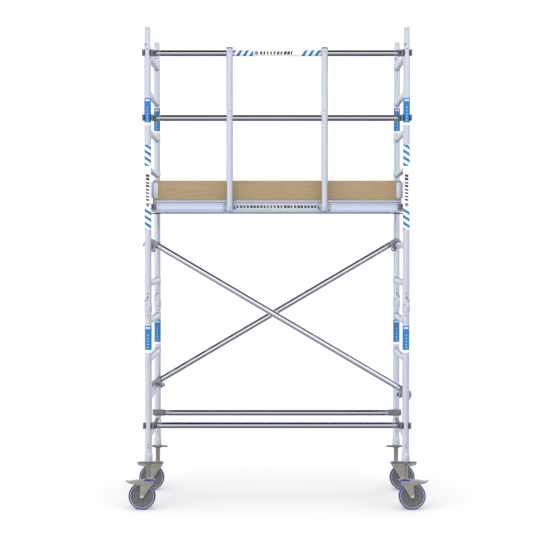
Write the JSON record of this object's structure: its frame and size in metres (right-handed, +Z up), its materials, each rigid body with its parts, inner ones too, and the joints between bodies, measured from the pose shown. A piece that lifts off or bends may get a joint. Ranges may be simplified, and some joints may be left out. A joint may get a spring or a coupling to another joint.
{
  "type": "mobile tower scaffold",
  "caption": "Mobile access tower of ladder frames on braked castors with adjustable legs, diagonal braces, hatch platform, toe boards and front guard rails.",
  "frame": {"origin": "on the floor, at the centre of the tower's outline", "axes": "+Z up; +X along the platform to the right as seen from the front; +Y from the guard rail side to the back"},
  "size_m": [2.232, 0.846, 3.552],
  "materials": {
    "frame_aluminium": "mill-finished tube, satin",
    "rail_aluminium": "bright drawn tube",
    "beam_aluminium": "extruded, satin anodised",
    "cast_aluminium": "die cast, matt",
    "zinc_steel": "zinc plated, satin",
    "cast_nut": "cast, zinc washed",
    "pedal_steel": "pressed, zinc plated, with a blue painted release end",
    "wheel": "dark grey moulded centre with a blue tread",
    "latch_nylon": "moulded, satin black",
    "deck_plywood": "phenolic faced, slip resistant",
    "toe_board_plywood": "sawn, matt varnish"
  },
  "bodies": {
    "tower": {"lower_frame_left": "frame_aluminium", "lower_frame_right": "frame_aluminium", "upper_frame_left": "frame_aluminium", "upper_frame_right": "frame_aluminium", "guard_rail_top": "rail_aluminium", "guard_rail_middle": "rail_aluminium", "base_rail_front": "rail_aluminium", "base_rail_back": "rail_aluminium", "brace_front": "rail_aluminium", "brace_back": "rail_aluminium", "stanchion_left": "frame_aluminium", "stanchion_right": "frame_aluminium", "platform_beam_front": "beam_aluminium", "platform_beam_back": "beam_aluminium", "platform_end_left": "cast_aluminium", "platform_end_right": "cast_aluminium", "deck_panel": "deck_plywood", "toe_board_front": "toe_board_plywood", "toe_board_back": "toe_board_plywood", "toe_board_left": "toe_board_plywood", "toe_board_right": "toe_board_plywood"},
    "trapdoor": {"trapdoor": "deck_plywood"},
    "nut_front_left": {"adjusting_nut_front_left": "cast_nut"},
    "leg_front_left": {"castor_leg_front_left": "zinc_steel"},
    "fork_front_left": {"castor_fork_front_left": "zinc_steel"},
    "wheel_front_left": {"castor_wheel_front_left": "wheel"},
    "pedal_front_left": {"brake_pedal_front_left": "pedal_steel"},
    "nut_front_right": {"adjusting_nut_front_right": "cast_nut"},
    "leg_front_right": {"castor_leg_front_right": "zinc_steel"},
    "fork_front_right": {"castor_fork_front_right": "zinc_steel"},
    "wheel_front_right": {"castor_wheel_front_right": "wheel"},
    "pedal_front_right": {"brake_pedal_front_right": "pedal_steel"},
    "nut_back_left": {"adjusting_nut_back_left": "cast_nut"},
    "leg_back_left": {"castor_leg_back_left": "zinc_steel"},
    "fork_back_left": {"castor_fork_back_left": "zinc_steel"},
    "wheel_back_left": {"castor_wheel_back_left": "wheel"},
    "pedal_back_left": {"brake_pedal_back_left": "pedal_steel"},
    "nut_back_right": {"adjusting_nut_back_right": "cast_nut"},
    "leg_back_right": {"castor_leg_back_right": "zinc_steel"},
    "fork_back_right": {"castor_fork_back_right": "zinc_steel"},
    "wheel_back_right": {"castor_wheel_back_right": "wheel"},
    "pedal_back_right": {"brake_pedal_back_right": "pedal_steel"},
    "wind_lock_left": {"wind_lock_left": "latch_nylon"},
    "wind_lock_right": {"wind_lock_right": "latch_nylon"},
    "pin_front_left": {"frame_pin_front_left": "zinc_steel"},
    "pin_front_right": {"frame_pin_front_right": "zinc_steel"},
    "pin_back_left": {"frame_pin_back_left": "zinc_steel"},
    "pin_back_right": {"frame_pin_back_right": "zinc_steel"},
    "guard_rail_top_latch_left": {"guard_rail_top_latch_left": "latch_nylon"},
    "guard_rail_top_latch_right": {"guard_rail_top_latch_right": "latch_nylon"},
    "guard_rail_middle_latch_left": {"guard_rail_middle_latch_left": "latch_nylon"},
    "guard_rail_middle_latch_right": {"guard_rail_middle_latch_right": "latch_nylon"},
    "base_rail_front_latch_left": {"base_rail_front_latch_left": "latch_nylon"},
    "base_rail_front_latch_right": {"base_rail_front_latch_right": "latch_nylon"},
    "base_rail_back_latch_left": {"base_rail_back_latch_left": "latch_nylon"},
    "base_rail_back_latch_right": {"base_rail_back_latch_right": "latch_nylon"},
    "brace_front_latch_left": {"brace_front_latch_left": "latch_nylon"},
    "brace_front_latch_right": {"brace_front_latch_right": "latch_nylon"},
    "brace_back_latch_left": {"brace_back_latch_left": "latch_nylon"},
    "brace_back_latch_right": {"brace_back_latch_right": "latch_nylon"}
  },
  "joints": [
    {"name": "trapdoor_hinge", "type": "hinge", "parent": "tower", "child": "trapdoor", "pos_m": [-0.2, 0, 2.2828], "axis": [0, 1, 0], "range_deg": [0, 100]},
    {"name": "nut_spin_front_left", "type": "hinge", "parent": "tower", "child": "nut_front_left", "pos_m": [-0.95, -0.375, 0.339], "axis": [0, 0, 1], "range_deg": [-4000, 8900]},
    {"name": "leg_slide_front_left", "type": "slide", "parent": "tower", "child": "leg_front_left", "axis": [0, 0, -1], "range_m": [-0.09, 0.2]},
    {"name": "swivel_front_left", "type": "hinge", "parent": "leg_front_left", "child": "fork_front_left", "pos_m": [-0.95, -0.375, 0.2095], "axis": [0, 0, 1], "continuous": true},
    {"name": "wheel_spin_front_left", "type": "hinge", "parent": "fork_front_left", "child": "wheel_front_left", "pos_m": [-0.999, -0.375, 0.1], "axis": [0, 1, 0], "continuous": true},
    {"name": "brake_front_left", "type": "hinge", "parent": "fork_front_left", "child": "pedal_front_left", "pos_m": [-0.98, -0.375, 0.198], "axis": [0, -1, 0], "range_deg": [0, 12]},
    {"name": "nut_spin_front_right", "type": "hinge", "parent": "tower", "child": "nut_front_right", "pos_m": [0.95, -0.375, 0.339], "axis": [0, 0, 1], "range_deg": [-4000, 8900]},
    {"name": "leg_slide_front_right", "type": "slide", "parent": "tower", "child": "leg_front_right", "axis": [0, 0, -1], "range_m": [-0.09, 0.2]},
    {"name": "swivel_front_right", "type": "hinge", "parent": "leg_front_right", "child": "fork_front_right", "pos_m": [0.95, -0.375, 0.2095], "axis": [0, 0, 1], "continuous": true},
    {"name": "wheel_spin_front_right", "type": "hinge", "parent": "fork_front_right", "child": "wheel_front_right", "pos_m": [0.999, -0.375, 0.1], "axis": [0, 1, 0], "continuous": true},
    {"name": "brake_front_right", "type": "hinge", "parent": "fork_front_right", "child": "pedal_front_right", "pos_m": [0.98, -0.375, 0.198], "axis": [0, 1, 0], "range_deg": [0, 12]},
    {"name": "nut_spin_back_left", "type": "hinge", "parent": "tower", "child": "nut_back_left", "pos_m": [-0.95, 0.375, 0.339], "axis": [0, 0, 1], "range_deg": [-4000, 8900]},
    {"name": "leg_slide_back_left", "type": "slide", "parent": "tower", "child": "leg_back_left", "axis": [0, 0, -1], "range_m": [-0.09, 0.2]},
    {"name": "swivel_back_left", "type": "hinge", "parent": "leg_back_left", "child": "fork_back_left", "pos_m": [-0.95, 0.375, 0.2095], "axis": [0, 0, 1], "continuous": true},
    {"name": "wheel_spin_back_left", "type": "hinge", "parent": "fork_back_left", "child": "wheel_back_left", "pos_m": [-0.999, 0.375, 0.1], "axis": [0, 1, 0], "continuous": true},
    {"name": "brake_back_left", "type": "hinge", "parent": "fork_back_left", "child": "pedal_back_left", "pos_m": [-0.98, 0.375, 0.198], "axis": [0, -1, 0], "range_deg": [0, 12]},
    {"name": "nut_spin_back_right", "type": "hinge", "parent": "tower", "child": "nut_back_right", "pos_m": [0.95, 0.375, 0.339], "axis": [0, 0, 1], "range_deg": [-4000, 8900]},
    {"name": "leg_slide_back_right", "type": "slide", "parent": "tower", "child": "leg_back_right", "axis": [0, 0, -1], "range_m": [-0.09, 0.2]},
    {"name": "swivel_back_right", "type": "hinge", "parent": "leg_back_right", "child": "fork_back_right", "pos_m": [0.95, 0.375, 0.2095], "axis": [0, 0, 1], "continuous": true},
    {"name": "wheel_spin_back_right", "type": "hinge", "parent": "fork_back_right", "child": "wheel_back_right", "pos_m": [0.999, 0.375, 0.1], "axis": [0, 1, 0], "continuous": true},
    {"name": "brake_back_right", "type": "hinge", "parent": "fork_back_right", "child": "pedal_back_right", "pos_m": [0.98, 0.375, 0.198], "axis": [0, 1, 0], "range_deg": [0, 12]},
    {"name": "wind_lock_left_turn", "type": "hinge", "parent": "tower", "child": "wind_lock_left", "pos_m": [-0.9, 0, 2.1965], "axis": [0, -1, 0], "range_deg": [0, 80]},
    {"name": "wind_lock_right_turn", "type": "hinge", "parent": "tower", "child": "wind_lock_right", "pos_m": [0.9, 0, 2.1965], "axis": [0, 1, 0], "range_deg": [0, 80]},
    {"name": "pin_front_left_draw", "type": "slide", "parent": "tower", "child": "pin_front_left", "axis": [0, -1, 0], "range_m": [0, 0.065]},
    {"name": "pin_front_right_draw", "type": "slide", "parent": "tower", "child": "pin_front_right", "axis": [0, -1, 0], "range_m": [0, 0.065]},
    {"name": "pin_back_left_draw", "type": "slide", "parent": "tower", "child": "pin_back_left", "axis": [0, -1, 0], "range_m": [0, 0.065]},
    {"name": "pin_back_right_draw", "type": "slide", "parent": "tower", "child": "pin_back_right", "axis": [0, -1, 0], "range_m": [0, 0.065]},
    {"name": "guard_rail_top_latch_left_pull", "type": "slide", "parent": "tower", "child": "guard_rail_top_latch_left", "axis": [1, 0, 0], "range_m": [0, 0.01], "stiffness_N_per_m": 800, "springref_m": -0.003},
    {"name": "guard_rail_top_latch_right_pull", "type": "slide", "parent": "tower", "child": "guard_rail_top_latch_right", "axis": [-1, 0, 0], "range_m": [0, 0.01], "stiffness_N_per_m": 800, "springref_m": -0.003},
    {"name": "guard_rail_middle_latch_left_pull", "type": "slide", "parent": "tower", "child": "guard_rail_middle_latch_left", "axis": [1, 0, 0], "range_m": [0, 0.01], "stiffness_N_per_m": 800, "springref_m": -0.003},
    {"name": "guard_rail_middle_latch_right_pull", "type": "slide", "parent": "tower", "child": "guard_rail_middle_latch_right", "axis": [-1, 0, 0], "range_m": [0, 0.01], "stiffness_N_per_m": 800, "springref_m": -0.003},
    {"name": "base_rail_front_latch_left_pull", "type": "slide", "parent": "tower", "child": "base_rail_front_latch_left", "axis": [1, 0, 0], "range_m": [0, 0.01], "stiffness_N_per_m": 800, "springref_m": -0.003},
    {"name": "base_rail_front_latch_right_pull", "type": "slide", "parent": "tower", "child": "base_rail_front_latch_right", "axis": [-1, 0, 0], "range_m": [0, 0.01], "stiffness_N_per_m": 800, "springref_m": -0.003},
    {"name": "base_rail_back_latch_left_pull", "type": "slide", "parent": "tower", "child": "base_rail_back_latch_left", "axis": [1, 0, 0], "range_m": [0, 0.01], "stiffness_N_per_m": 800, "springref_m": -0.003},
    {"name": "base_rail_back_latch_right_pull", "type": "slide", "parent": "tower", "child": "base_rail_back_latch_right", "axis": [-1, 0, 0], "range_m": [0, 0.01], "stiffness_N_per_m": 800, "springref_m": -0.003},
    {"name": "brace_front_latch_left_pull", "type": "slide", "parent": "tower", "child": "brace_front_latch_left", "axis": [0.8615, 0, -0.5078], "range_m": [0, 0.01], "stiffness_N_per_m": 800, "springref_m": -0.003},
    {"name": "brace_front_latch_right_pull", "type": "slide", "parent": "tower", "child": "brace_front_latch_right", "axis": [-0.8615, 0, 0.5078], "range_m": [0, 0.01], "stiffness_N_per_m": 800, "springref_m": -0.003},
    {"name": "brace_back_latch_left_pull", "type": "slide", "parent": "tower", "child": "brace_back_latch_left", "axis": [0.8615, 0, 0.5078], "range_m": [0, 0.01], "stiffness_N_per_m": 800, "springref_m": -0.003},
    {"name": "brace_back_latch_right_pull", "type": "slide", "parent": "tower", "child": "brace_back_latch_right", "axis": [-0.8615, 0, -0.5078], "range_m": [0, 0.01], "stiffness_N_per_m": 800, "springref_m": -0.003}
  ],
  "couplings": [
    {"joint": "leg_slide_front_left", "follows": "nut_spin_front_left", "m_per_rad": 0.0012732},
    {"joint": "leg_slide_front_right", "follows": "nut_spin_front_right", "m_per_rad": 0.0012732},
    {"joint": "leg_slide_back_left", "follows": "nut_spin_back_left", "m_per_rad": 0.0012732},
    {"joint": "leg_slide_back_right", "follows": "nut_spin_back_right", "m_per_rad": 0.0012732}
  ]
}
